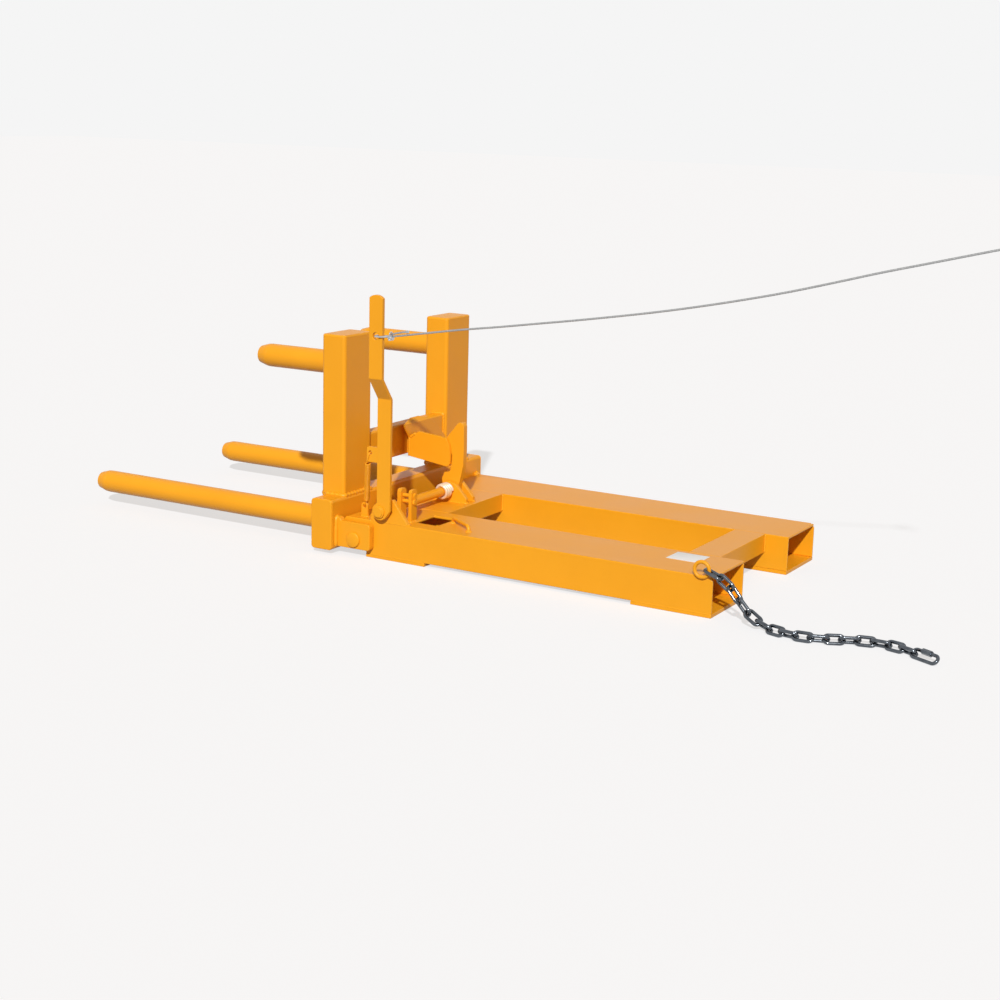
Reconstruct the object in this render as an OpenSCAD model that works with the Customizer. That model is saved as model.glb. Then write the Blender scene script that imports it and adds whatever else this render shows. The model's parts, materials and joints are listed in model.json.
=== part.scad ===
// Drum rotator that slides onto a pair of lift-truck forks.
// Frame: origin on the floor below the tilt pins, on the centre plane.
// +X runs along the fork sleeves to their open ends, +Y to the far side, +Z up.
// The drum arms point along -X and swing down about the tilt pins when the catch hook is pulled open.

/* [Fork frame] */
// Clear gap between the two fork sleeves
sleeve_gap = 280; // [240:5:320]
// Outer width of one fork sleeve
sleeve_w = 184; // [160:2:200]
// Height of the sleeves' top face above the floor
sleeve_h = 97; // [90:1:110]
// Distance from the tilt pins to the sleeves' open ends
frame_len = 974; // [850:2:1200]
// Sheet thickness of the sleeves
sheet = 6; // [4:0.5:8]
// Thickness of the straps that close a sleeve's underside
strap_t = 9; // [6:0.5:12]
// Length of the strap at the front of a sleeve
front_strap_len = 175; // [120:5:220]
// Length of the strap at the open end of a sleeve
rear_strap_len = 204; // [120:2:240]
// Length of the front cross member along the sleeves
front_cross_len = 128; // [100:2:160]
// Length of the rear cross member along the sleeves
rear_cross_len = 82; // [60:2:120]
// Distance from the rear cross member to the open ends
rear_cross_inset = 61; // [30:1:120]
// Height of both cross members
cross_h = 48; // [40:1:60]
// Wall of the square and rectangular tubes
tube_wall = 5; // [3:0.5:6]
// Length of the window in the near sleeve's top
window_len = 65; // [40:1:80]
// Width of the window in the near sleeve's top
window_w = 91; // [60:1:110]

/* [Tilt hinge] */
// Height of the tilt pins' centre
pin_z = 45; // [42:0.5:48]
// Diameter of a tilt pin
pin_d = 30; // [24:1:32]
// Radial clearance of the pins in the sleeves' lugs
pin_clear = 0.05; // [0.02:0.01:0.1]
// Radius of the rounded lug round a tilt pin
lug_r = 27; // [24:0.5:27]
// Thickness of the doubler plate inside each lug
doubler_t = 12; // [8:1:16]
// Length of an outer hinge ear behind the pin
ear_back = 49; // [40:1:56]
// Height of an outer hinge ear
ear_h = 68; // [60:1:76]
// Thickness of an outer hinge ear
ear_t = 18; // [10:1:20]
// Gap between the sleeve's side and the outer ear
ear_gap = 3; // [2:1:8]
// Diameter of a tilt pin's head
pin_head_d = 40; // [36:1:46]

/* [Tilt frame] */
// Length of the hinge beam across the machine
beam_len = 733; // [700:1:800]
// Depth of the hinge beam
beam_d = 63; // [50:1:65]
// Height of the hinge beam
beam_h = 130; // [120:1:140]
// Height of the beam's underside above the floor
beam_z = 12; // [8:0.5:16]
// Distance from the tilt pins to the beam's rear face
beam_back = 53; // [50:0.5:56]
// Depth of a post
post_d = 71; // [60:1:80]
// Width of a post
post_w = 120; // [100:1:130]
// Clear gap between the posts
post_gap = 363; // [340:1:380]
// Height of the posts' tops
post_top = 552; // [520:1:600]
// Height of the cross bar's underside
cross_bar_z = 203; // [190:1:220]
// Height of the cross bar
cross_bar_h = 84; // [76:1:90]
// Depth of the cross bar
cross_bar_d = 38; // [30:1:50]
// Corner radius of the beam, posts and cross bar
corner_r = 9; // [4:1:12]

/* [Drum arms] */
// Diameter of a drum arm
arm_d = 60; // [50:1:64]
// Wall of a drum arm
arm_wall = 5; // [3:0.5:8]
// Half the distance between the lower arms
lower_arm_y = 272; // [240:1:290]
// Height of the lower arms
lower_arm_z = 69; // [60:1:90]
// Distance from the tilt pins to the lower arms' ends
lower_arm_reach = 919; // [800:1:1000]
// Half the distance between the upper arms
upper_arm_y = 230; // [215:1:260]
// Height of the upper arms
upper_arm_z = 470; // [430:1:490]
// Distance from the tilt pins to the upper arms' ends
upper_arm_reach = 386; // [320:1:500]
// Length of an arm's rounded tip
tip_len = 44; // [30:1:60]

/* [Catch] */
// Distance from the tilt pins to the latch shaft
shaft_x = 78; // [74:1:82]
// Height of the latch shaft
shaft_z = 128; // [126:0.5:132]
// Diameter of the latch shaft
shaft_d = 24; // [20:1:26]
// Thickness of the catch hook
hook_t = 18; // [12:1:20]
// Diameter of the catch pin
catch_pin_d = 16; // [12:1:18]
// Distance from the tilt pins to the catch pin
catch_x = 50; // [48:0.5:52]
// Height of the catch pin
catch_z = 210; // [208:0.5:214]
// Gap between the hook and the catch pin, and beside the hook
catch_gap = 1.2; // [0.8:0.1:2]
// Thickness of a catch cheek
cheek_t = 10; // [8:1:12]
// Thickness of the catch's base plate
catch_base_t = 21; // [16:1:24]

/* [Release lever] */
// Width of the lever bar
lever_w = 39; // [34:1:44]
// Thickness of the lever bar
lever_t = 10; // [8:1:12]
// Height of the lever's top
lever_top = 674; // [640:1:720]
// Gap between the sleeve's side and the lever's foot
lever_gap = 11; // [8:1:16]
// Sideways set of the lever's bend
lever_set = 40; // [20:1:50]
// Height where the bend starts
bend_low = 414; // [380:1:430]
// Height where the bend ends
bend_high = 468; // [450:1:500]
// Height of the pull rope's hole
rope_hole_z = 573; // [540:1:600]
// Diameter of the pull rope
rope_d = 5; // [4:0.5:6]

/* [Return spring] */
// Outside diameter of the return spring
spring_d = 15; // [13:1:18]
// Wire of the return spring
spring_wire = 3.2; // [2.5:0.1:3.6]
// Height of the spring's upper hook
spring_top_z = 275; // [265:1:285]
// Height of the spring's lower hook
spring_low_z = 124; // [120:1:128]

/* [Safety chain] */
// Wire of a chain link
link_wire = 8; // [6:0.5:9]
// Inside length of a chain link
link_in = 36; // [32:1:40]
// Number of chain links
link_count = 16; // [12:1:16]

/* [Hidden] */
paint = "orange";
bare_steel = "silver";
$fn = 64;
eps = 0.01;

in_y = sleeve_gap / 2;
out_y = in_y + sleeve_w;
// The sleeves' walls start behind the swinging beam, and the nose reaches over the pins
wall_x = 24.5;
nose_x = -44;
head_z = sleeve_h - sheet;
front_cross_x = wall_x;
rear_cross_x = frame_len - rear_cross_inset - rear_cross_len;
window_x = 141;
window_y = -in_y - 46 - window_w;

lug_in_y = out_y - sheet - doubler_t;
doubler_end = wall_x + 35;
ear_side_gap = 2;
inner_ear_t = 12;
inner_ear_r = 22;
ear_in_y = out_y + ear_gap;
ear_out_y = ear_in_y + ear_t;
pin_in_y = lug_in_y - ear_side_gap - inner_ear_t;
washer_t = 4;
head_t = 7;
nut_t = 14;

beam_x = -beam_back - beam_d;
cap_t = 5;
post_x = -60 - post_d;
post_cap_t = 6;
post_y = post_gap / 2;
cross_bar_x = -68;

hook_half = hook_t / 2;
cheek_y = hook_half + catch_gap;
hook_boss_r = shaft_d / 2 + 12;
lug_plate_t = 12;
hook_lug_y = hook_half + 2;
nose_r_in = norm([catch_x - shaft_x, catch_z - shaft_z]) + catch_pin_d / 2 + catch_gap;

lever_y = -out_y - lever_gap;
lever_x = shaft_x + 11;
top_y = lever_y - lever_set;
near_lug_y = -out_y;
shaft_clear = 0.05;
shaft_far_y = hook_lug_y + lug_plate_t + 14;

// Profile helpers

module tube_y(x, z, r_out, y_low, y_high) {
    translate([x, y_high, z])
        rotate([90, 0, 0])
            cylinder(r = r_out, h = y_high - y_low);
}

// A plate in the XZ plane, from y_low towards +Y
module plate_xz(y_low, thick) {
    translate([0, y_low + thick, 0])
        rotate([90, 0, 0])
            linear_extrude(thick)
                children();
}

module rounded_rect(w, h, r) {
    hull()
        for (x = [r, w - r], y = [r, h - r])
            translate([x, y])
                circle(r, $fn = 32);
}

// A rounded bar section made of exact arcs, so the tube keeps true corners
module bar_section(w, h, r) {
    translate([r, 0])
        square([w - 2 * r, h]);
    translate([0, r])
        square([w, h - 2 * r]);
    for (x = [r, w - r], y = [r, h - r])
        translate([x, y])
            circle(r);
}

module tube_section(w, h, r, wall) {
    difference() {
        bar_section(w, h, r);
        translate([wall, wall])
            bar_section(w - 2 * wall, h - 2 * wall, max(r - wall, 1));
    }
}

function heading(points, i) =
    let (d = points[min(i + 1, len(points) - 1)] - points[max(i - 1, 0)])
    d / norm(d);
function squared(n, t) = let (m = n - (n * t) * t) m / norm(m);
function sides_of(points, seed) =
    [for (i = 0, n = squared(seed, heading(points, 0)); i < len(points);
          i = i + 1, n = squared(n, heading(points, min(i, len(points) - 1)))) n];

// A round wire along points; seed is any direction that the wire doesn't start along
module wire_along(points, d, sides, seed) {
    count = len(points);
    normals = sides_of(points, seed);
    function ring(i) =
        let (n = normals[i], m = cross(n, heading(points, i)))
        [for (k = [0:sides - 1]) points[i] + d / 2 * (cos(360 * k / sides) * n + sin(360 * k / sides) * m)];
    polyhedron(
        points = [for (i = [0:count - 1]) each ring(i)],
        faces = concat(
            [[for (k = [sides - 1:-1:0]) k]],
            [for (i = [0:count - 2], k = [0:sides - 1]) each
                [[i * sides + k, i * sides + (k + 1) % sides, (i + 1) * sides + k],
                 [i * sides + (k + 1) % sides, (i + 1) * sides + (k + 1) % sides, (i + 1) * sides + k]]],
            [[for (k = [0:sides - 1]) (count - 1) * sides + k]]
        )
    );
}

// Mirrors a near-side piece to the far side as well
module both_sides() {
    children();
    mirror([0, 1, 0])
        children();
}

// Fork sleeves: bent sheet, open below between its straps

module sleeve_side_outline() {
    translate([wall_x, strap_t])
        square([frame_len - wall_x, sleeve_h - strap_t]);
    translate([nose_x, pin_z])
        square([wall_x - nose_x + eps, sleeve_h - pin_z]);
    translate([0, pin_z])
        circle(lug_r);
    translate([0, pin_z - lug_r + 4])
        square([wall_x + eps, lug_r - 4]);
}

module pin_bore_xz() {
    translate([0, pin_z])
        circle(pin_d / 2 + pin_clear);
}

module sleeve_wall_outer(y_low) {
    chamfer = 10;
    difference() {
        plate_xz(y_low, sheet)
            difference() {
                sleeve_side_outline();
                pin_bore_xz();
                translate([frame_len, sleeve_h])
                    rotate(45)
                        square(chamfer * sqrt(2), center = true);
            }
    }
}

module sleeve(window) {
    color(paint) {
        sleeve_wall_outer(-out_y);
        translate([wall_x, -in_y - sheet, strap_t])
            cube([frame_len - wall_x, sheet, sleeve_h - strap_t]);
        difference() {
            translate([nose_x, -out_y + sheet - eps, head_z])
                cube([frame_len - nose_x, sleeve_w - 2 * sheet + 2 * eps, sheet]);
            if (window)
                translate([window_x, window_y, head_z - eps])
                    cube([window_len, window_w, sheet + 2 * eps]);
        }
        translate([nose_x, -in_y - sheet, pin_z])
            cube([wall_x - nose_x + eps, sheet, sleeve_h - pin_z]);
    }
}

module near_sleeve() {
    sleeve(true);
}

module far_sleeve() {
    mirror([0, 1, 0])
        sleeve(false);
}

module straps() {
    color(paint)
        for (span = [[wall_x, front_strap_len], [frame_len - rear_strap_len, rear_strap_len]])
            translate([span[0], -out_y, 0])
                cube([span[1], sleeve_w, strap_t]);
}

module near_straps() {
    straps();
}

module far_straps() {
    mirror([0, 1, 0])
        straps();
}

// Cross members are rectangular tubes between the sleeves, flush with their tops
module cross_member(x, len) {
    color(paint)
        translate([x, in_y, sleeve_h - cross_h])
            rotate([90, 0, 0])
                linear_extrude(2 * in_y)
                    difference() {
                        square([len, cross_h]);
                        translate([tube_wall, tube_wall])
                            square([len - 2 * tube_wall, cross_h - 2 * tube_wall]);
                    }
}

module front_cross_member() {
    cross_member(front_cross_x, front_cross_len);
}

module rear_cross_member() {
    cross_member(rear_cross_x, rear_cross_len);
}

// The doubler lies inside a sleeve's wall and carries the tilt pin
module hinge_doubler() {
    color(paint)
        plate_xz(-out_y + sheet, doubler_t)
            difference() {
                union() {
                    translate([0, pin_z])
                        circle(lug_r);
                    translate([nose_x + 2 * sheet, pin_z])
                        square([doubler_end - nose_x - 2 * sheet, head_z - pin_z]);
                    translate([0, pin_z - lug_r + 4])
                        square([doubler_end, lug_r - 4 + eps]);
                }
                pin_bore_xz();
            }
}

module near_hinge_doubler() {
    hinge_doubler();
}

module far_hinge_doubler() {
    mirror([0, 1, 0])
        hinge_doubler();
}

// Plates that close the noses towards the beam
module nose_plates() {
    color(paint)
        both_sides()
            translate([nose_x, -out_y + sheet, pin_z + inner_ear_r + 2])
                cube([sheet, sleeve_w - 2 * sheet, head_z - pin_z - inner_ear_r - 2]);
}

// Latch shaft bearings

module shaft_bore_xz() {
    translate([shaft_x, shaft_z])
        circle(shaft_d / 2 + shaft_clear);
}

// The near lug spreads into a long foot behind the lever
module near_shaft_lug() {
    boss_r = shaft_d / 2 + 16;
    color(paint)
        plate_xz(near_lug_y, lug_plate_t)
            difference() {
                union() {
                    translate([shaft_x, shaft_z])
                        circle(boss_r);
                    polygon([
                        [shaft_x - 40, sleeve_h], [shaft_x + 71, sleeve_h], [shaft_x + 69, sleeve_h + 6],
                        [shaft_x + 26, shaft_z + 29], [shaft_x, shaft_z + boss_r], [shaft_x - 24, shaft_z + 13],
                        [shaft_x - 40, sleeve_h + 14]
                    ]);
                }
                shaft_bore_xz();
            }
}

// A pair of lugs close beside the hook
module hook_lugs() {
    boss_r = shaft_d / 2 + 11;
    color(paint)
        both_sides()
            plate_xz(-hook_lug_y - lug_plate_t, lug_plate_t)
                difference() {
                    union() {
                        translate([shaft_x, shaft_z])
                            circle(boss_r);
                        polygon([
                            [shaft_x - 48, sleeve_h], [shaft_x + 57, sleeve_h], [shaft_x + 57, sleeve_h + 12],
                            [shaft_x + 22, shaft_z + 18], [shaft_x, shaft_z + boss_r], [shaft_x - 20, shaft_z + 11],
                            [shaft_x - 48, sleeve_h + 8]
                        ]);
                    }
                    shaft_bore_xz();
                }
}

// Two flat posts in front of the window, joined by two set bolts, stop the shaft's key arm
stop_y = -285;
stop_w = 26;
stop_h = 82;
stop_corner = 8;
stop_x = [91.5, 125];
stop_post_t = [11, 9];
stop_bolt_z = [sleeve_h + 50, sleeve_h + 65];
stop_bolt_d = 10;

module stop_posts() {
    color(paint)
        for (i = [0, 1])
            difference() {
                translate([stop_x[i], stop_y, sleeve_h])
                    rotate([90, 0, 90])
                        linear_extrude(stop_post_t[i]) {
                            square([stop_w, stop_h - stop_corner]);
                            translate([stop_corner, 0])
                                square([stop_w - 2 * stop_corner, stop_h]);
                            for (y = [stop_corner, stop_w - stop_corner])
                                translate([y, stop_h - stop_corner])
                                    circle(stop_corner);
                        }
                for (z = stop_bolt_z)
                    translate([stop_x[i] - 1, stop_y + stop_w / 2, z])
                        rotate([0, 90, 0])
                            cylinder(d = stop_bolt_d, h = stop_post_t[i] + 2);
            }
}

module stop_bolts() {
    bolt_from = stop_x[0] - 4;
    bolt_to = stop_x[1] + stop_post_t[1];
    color(paint)
        for (z = stop_bolt_z)
            translate([bolt_from, stop_y + stop_w / 2, z])
                rotate([0, 90, 0]) {
                    cylinder(d = stop_bolt_d, h = bolt_to - bolt_from + 3);
                    cylinder(d = stop_bolt_d * 1.6, h = 4, $fn = 6);
                    translate([0, 0, bolt_to - bolt_from])
                        cylinder(d = stop_bolt_d * 1.6, h = 5, $fn = 6);
                }
}

// Return spring: a long hook at each end and a coil between the lever's tab and its anchor

anchor_x = 2;
anchor_y = -300;
anchor_t = 8;
anchor_r = 10;
tab_hole_x = lever_x - lever_w / 2 - 21.5;
spring_top = [tab_hole_x, lever_y - lever_t / 2, spring_top_z];
spring_low = [anchor_x, anchor_y + anchor_t / 2, spring_low_z];
spring_lean = atan2(spring_top[0] - spring_low[0], spring_top[2] - spring_low[2]);
spring_up = [sin(spring_lean), 0, cos(spring_lean)];
hook_loop_r = 6.6;
hook_top_len = 30;
hook_low_len = 17;
coil_low = spring_low + hook_low_len * spring_up;
coil_top = spring_top - hook_top_len * spring_up;
tab_hole_d = 10;

module spring_anchor() {
    color(paint)
        plate_xz(anchor_y, anchor_t)
            difference() {
                union() {
                    translate([anchor_x, spring_low_z])
                        circle(anchor_r);
                    translate([anchor_x - anchor_r, sleeve_h])
                        square([2 * anchor_r, spring_low_z - sleeve_h]);
                }
                translate([anchor_x, spring_low_z])
                    circle(d = tab_hole_d);
            }
}

// A hook runs through its hole; one leg ends open, the other turns into the coil
function spring_hook(leg) = concat(
    [[-hook_loop_r, leg - 5], [-hook_loop_r, hook_loop_r + 1]],
    [for (a = [-80:20:80]) [hook_loop_r * sin(a), hook_loop_r * (1 - cos(a))]],
    [[hook_loop_r, hook_loop_r + 1], [hook_loop_r, leg - 4]]
);
function turned_over(points) = [for (i = [len(points) - 1:-1:0]) points[i]];

module return_spring() {
    coil_r = spring_d / 2 - spring_wire / 2;
    steps = 12;
    run = coil_top - coil_low;
    along = run / norm(run);
    side = squared([0, 1, 0], along);
    other = cross(along, side);
    turns = floor(norm(run) / (1.6 * spring_wire));
    last = turns * steps;
    coil = [for (i = [0:last]) let (a = 360 * i / steps) coil_low + run * i / last + coil_r * (cos(a) * side + sin(a) * other)];
    low = [for (p = spring_hook(hook_low_len)) spring_low + [0, p[0], 0] + p[1] * spring_up];
    top = [for (p = spring_hook(hook_top_len)) spring_top + [0, p[0], 0] - p[1] * spring_up];
    color(paint)
        wire_along(concat(low, coil, turned_over(top)), spring_wire, 6, [1, 0, 0]);
}

// Torsion spring round the latch shaft beside the hook
hook_spring_wire = 8;
hook_spring_r = shaft_d / 2 + 1 + hook_spring_wire / 2;
hook_spring_turns = 3.25;
hook_spring_y = -hook_lug_y - lug_plate_t - hook_spring_wire / 2 - 0.5;

module hook_spring() {
    steps = 16;
    pitch = hook_spring_wire + 1.4;
    coil = [for (i = [0:hook_spring_turns * steps])
        let (a = 360 * i / steps)
        [shaft_x + hook_spring_r * cos(a), hook_spring_y - pitch * i / steps, shaft_z + hook_spring_r * sin(a)]];
    color(bare_steel)
        wire_along(coil, hook_spring_wire, 8, [1, 0, 0]);
}

// Bent rod welded on the near sleeve's top beside the window
staple_d = 10;
staple_x = [222, 302];
staple_y = [-226, -282];
staple_rise = 14;

module guide_staple() {
    run = norm([staple_x[1] - staple_x[0], staple_y[1] - staple_y[0]]);
    dir = [staple_x[1] - staple_x[0], staple_y[1] - staple_y[0]] / run;
    bend_r = 1.2 * staple_d;
    outline = concat(
        [[0, 0]],
        [for (a = [0:18:90]) [bend_r - bend_r * cos(a), staple_rise - bend_r + bend_r * sin(a)]],
        [for (a = [90:-18:0]) [run - bend_r + bend_r * cos(a), staple_rise - bend_r + bend_r * sin(a)]],
        [[run, 0]]
    );
    color(paint)
        wire_along(
            [for (p = outline) [staple_x[0] + dir[0] * p[0], staple_y[0] + dir[1] * p[0], sleeve_h + p[1]]],
            staple_d, 12, [dir[1], -dir[0], 0]
        );
}

// Safety chain: a ring on the near sleeve, links that drop to the floor, and an open end hook

ring_wire = 9;
ring_r = 18;
ring_x = frame_len - 26;
ring_z = sleeve_h + ring_r - 2;
ring_y = -out_y - ring_wire / 2;

module chain_ring() {
    color(paint)
        translate([ring_x, ring_y, ring_z])
            rotate([90, 0, 0])
                rotate_extrude($fn = 48)
                    translate([ring_r, 0])
                        circle(d = ring_wire, $fn = 24);
}

link_half_w = 10;
link_pitch = link_in - 2.2;
// How each link leans down, how the chain wanders over the floor, and how it settles on its side
link_dip = [20, 35, 48, 43, 26, 12, 0, 0, 0, 0, 0, 0, 0, 0, 0, 0, 0];
link_turn = [0, -2, -5, -10, -15, -19, -17, -8, 6, 19, 27, 26, 14, 0, -14, -24, -26];
link_settle = [0, 5, 15, 25, 35, 45, 45, 45, 45, 45, 45, 45, 45, 45, 45, 45, 45];
function link_dir(i) = [cos(link_dip[i]) * cos(link_turn[i]), cos(link_dip[i]) * sin(link_turn[i]), -sin(link_dip[i])];
function drop_from(i) = i < 0 ? 0 : sin(link_dip[i]) + drop_from(i - 1);
chain_floor_z = link_wire / 2 + link_half_w * sin(45);
chain_start = [ring_x + 13.4, ring_y, chain_floor_z + link_pitch * drop_from(5)];
function link_joint(i) = i == 0 ? chain_start : link_joint(i - 1) + link_pitch * link_dir(i - 1);

module long_link(inside) {
    straight = inside - 2 * link_half_w + link_wire;
    for (s = [-1, 1]) {
        translate([-straight / 2, s * link_half_w, 0])
            rotate([0, 90, 0])
                cylinder(d = link_wire, h = straight, $fn = 16);
        translate([s * straight / 2, 0, 0])
            rotate([0, 0, s > 0 ? -90 : 90])
                rotate_extrude(angle = 180, $fn = 32)
                    translate([link_half_w, 0])
                        circle(d = link_wire, $fn = 16);
    }
}

module placed_link(i, inside) {
    translate(link_joint(i) + link_dir(i) * (inside - (link_in - link_pitch)) / 2)
        rotate([0, link_dip[i], link_turn[i]])
            rotate([90 * i + link_settle[i], 0, 0])
                children();
}

module safety_chain() {
    color(bare_steel)
        for (i = [0:link_count - 1])
            placed_link(i, link_in)
                long_link(link_in);
}

// A longer link with a screw sleeve, to be closed round the truck's mast
module chain_end_hook() {
    inside = 62;
    sleeve_len = 26;
    color(bare_steel)
        placed_link(link_count, inside) {
            long_link(inside);
            translate([-sleeve_len / 2, link_half_w, 0])
                rotate([0, 90, 0])
                    cylinder(d = link_wire * 1.7, h = sleeve_len, $fn = 6);
        }
}

// Pull rope: from the clip by the lever to a loop where the driver holds it
rope_y = top_y - lever_t / 2;
clip_x = lever_x + lever_w / 2 + 14;
clip_len = 14;
rope_points = [
    [clip_x + clip_len + 0.6, rope_y, rope_hole_z + 3], [230, rope_y, 592], [330, rope_y, 609], [430, rope_y, 624],
    [530, rope_y, 640], [630, rope_y, 656], [730, rope_y, 673], [830, rope_y, 691],
    [930, rope_y, 711], [1030, rope_y, 733], [1130, rope_y, 757], [1230, rope_y, 784],
    [1330, rope_y, 812], [1430, rope_y, 838], [1530, rope_y, 864], [1600, rope_y, 882]
];
rope_end = rope_points[len(rope_points) - 1];

module pull_rope() {
    color(bare_steel)
        wire_along(rope_points, rope_d, 8, [0, 1, 0]);
}

module rope_end_loop() {
    loop_r = 17;
    sleeve_len = 20;
    dir = heading(rope_points, len(rope_points) - 1);
    color(bare_steel)
        translate(rope_end)
            rotate([0, -atan2(dir[2], dir[0]), 0]) {
                rotate([0, 90, 0])
                    cylinder(d = rope_d * 2, h = sleeve_len);
                translate([sleeve_len + loop_r, 0, 0])
                    rotate([90, 0, 0])
                        rotate_extrude($fn = 40)
                            translate([loop_r, 0])
                                circle(d = rope_d, $fn = 16);
            }
}

// Tilt frame: hinge beam, posts, cross bar

module hinge_beam() {
    color(paint)
        translate([beam_x, beam_len / 2 - cap_t, beam_z])
            rotate([90, 0, 0])
                linear_extrude(beam_len - 2 * cap_t)
                    tube_section(beam_d, beam_h, corner_r, tube_wall);
}

module beam_end_caps() {
    color(paint)
        both_sides()
            translate([beam_x, -beam_len / 2 + cap_t, beam_z])
                rotate([90, 0, 0])
                    linear_extrude(cap_t)
                        bar_section(beam_d, beam_h, corner_r);
}

module post() {
    foot_z = beam_z + beam_h;
    color(paint)
        translate([post_x, -post_y - post_w, foot_z])
            linear_extrude(post_top - post_cap_t - foot_z)
                tube_section(post_d, post_w, corner_r, tube_wall);
}

module near_post() {
    post();
}

module far_post() {
    mirror([0, 1, 0])
        post();
}

module post_caps() {
    edge = 3;
    color(paint)
        both_sides()
            translate([post_x, -post_y - post_w, post_top - post_cap_t]) {
                linear_extrude(post_cap_t - edge)
                    bar_section(post_d, post_w, corner_r);
                hull()
                    for (lift = [0, edge])
                        translate([lift, lift, post_cap_t - edge])
                            linear_extrude(lift + eps)
                                rounded_rect(post_d - 2 * lift, post_w - 2 * lift, corner_r - lift);
            }
}

module cross_bar() {
    color(paint)
        translate([cross_bar_x - cross_bar_d, post_y, cross_bar_z])
            rotate([90, 0, 0])
                linear_extrude(2 * post_y)
                    tube_section(cross_bar_d, cross_bar_h, corner_r - 3, tube_wall);
}

// Drum arms: round tubes welded to the beam and to the posts

module arm(root_x, reach, y, z) {
    color(paint)
        translate([-reach + tip_len, y, z])
            rotate([0, 90, 0])
                difference() {
                    cylinder(d = arm_d, h = root_x + reach - tip_len);
                    translate([0, 0, -eps])
                        cylinder(d = arm_d - 2 * arm_wall, h = root_x + reach - tip_len + 2 * eps);
                }
}

module near_lower_arm() {
    arm(beam_x, lower_arm_reach, -lower_arm_y, lower_arm_z);
}

module far_lower_arm() {
    arm(beam_x, lower_arm_reach, lower_arm_y, lower_arm_z);
}

module near_upper_arm() {
    arm(post_x, upper_arm_reach, -upper_arm_y, upper_arm_z);
}

module far_upper_arm() {
    arm(post_x, upper_arm_reach, upper_arm_y, upper_arm_z);
}

// A tip tapers a little and ends in a dome
module arm_tip() {
    r = arm_d / 2;
    nose_r = r * 0.62;
    rotate([0, -90, 0])
        rotate_extrude()
            difference() {
                union() {
                    polygon([[0, 0], [r, 0], [r * 0.97, tip_len * 0.22], [nose_r * 1.22, tip_len - nose_r * 0.62], [0, tip_len - nose_r * 0.62]]);
                    translate([0, tip_len - nose_r])
                        intersection() {
                            circle(nose_r * 1.0 + eps);
                            square([nose_r * 2, nose_r * 2]);
                        }
                }
                translate([-2 * r, -eps])
                    square([2 * r, tip_len + 1]);
            }
}

module arm_tips() {
    ends = [
        [-lower_arm_reach, -lower_arm_y, lower_arm_z], [-lower_arm_reach, lower_arm_y, lower_arm_z],
        [-upper_arm_reach, -upper_arm_y, upper_arm_z], [-upper_arm_reach, upper_arm_y, upper_arm_z]
    ];
    color(paint)
        for (p = ends)
            translate([p[0] + tip_len, p[1], p[2]])
                arm_tip();
}

// Hinge ears welded to the beam, and the pins through them

module outer_ears() {
    corner = 9;
    low_z = pin_z - 24;
    color(paint)
        both_sides()
            plate_xz(-ear_out_y, ear_t)
                difference() {
                    union() {
                        translate([-beam_back, low_z])
                            square([beam_back + ear_back - corner, ear_h]);
                        translate([-beam_back, low_z + corner])
                            square([beam_back + ear_back, ear_h - 2 * corner]);
                        for (z = [low_z + corner, low_z + ear_h - corner])
                            translate([ear_back - corner, z])
                                circle(corner);
                        polygon([
                            [-beam_back, low_z + ear_h - 1], [-beam_back + 16, low_z + ear_h - 1],
                            [-beam_back + 12, low_z + ear_h + 5], [-beam_back + 4, low_z + ear_h + 9],
                            [-beam_back, low_z + ear_h + 9]
                        ]);
                    }
                    translate([0, pin_z])
                        circle(pin_d / 2);
                }
}

module inner_ears() {
    color(paint)
        both_sides()
            plate_xz(-lug_in_y + ear_side_gap, inner_ear_t)
                difference() {
                    union() {
                        translate([0, pin_z])
                            circle(inner_ear_r);
                        translate([-beam_back, pin_z - inner_ear_r])
                            square([beam_back, 2 * inner_ear_r]);
                    }
                    translate([0, pin_z])
                        circle(pin_d / 2);
                }
}

// The pin's head is a disc with a shallow dome
module tilt_pin() {
    color(paint) {
        tube_y(0, pin_z, pin_d / 2, -ear_out_y - 1, -pin_in_y + washer_t + nut_t + 6);
        translate([0, -ear_out_y, pin_z])
            rotate([90, 0, 0])
                rotate_extrude()
                    polygon([
                        [0, 0], [pin_head_d / 2, 0], [pin_head_d / 2, head_t - 3], [pin_head_d / 2 - 2, head_t - 1],
                        [pin_head_d / 4, head_t + 0.6], [0, head_t + 1]
                    ]);
    }
}

module near_tilt_pin() {
    tilt_pin();
}

module far_tilt_pin() {
    mirror([0, 1, 0])
        tilt_pin();
}

module washer_at(y) {
    difference() {
        tube_y(0, pin_z, pin_head_d / 2 + 2, y, y + washer_t);
        tube_y(0, pin_z, pin_d / 2, y - 1, y + washer_t + 1);
    }
}

module pin_washers() {
    color(paint)
        both_sides()
            washer_at(-pin_in_y);
}

module pin_nuts() {
    color(bare_steel)
        both_sides()
            difference() {
                translate([0, -pin_in_y + washer_t + nut_t, pin_z])
                    rotate([90, 0, 0])
                        cylinder(d = pin_d * 1.62, h = nut_t, $fn = 6);
                tube_y(0, pin_z, pin_d / 2, -pin_in_y, -pin_in_y + washer_t + nut_t + 1);
            }
}

// Pads on the beam that rest against the noses when the arms are level
module stop_pads() {
    gap = 0.5;
    pad_z = pin_z + inner_ear_r + 4;
    color(paint)
        both_sides()
            translate([-beam_back, -in_y - 60, pad_z])
                cube([beam_back + nose_x - gap, 40, 18]);
}

// Catch on the cross bar: a base plate, two cheeks and the pin between them

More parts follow.
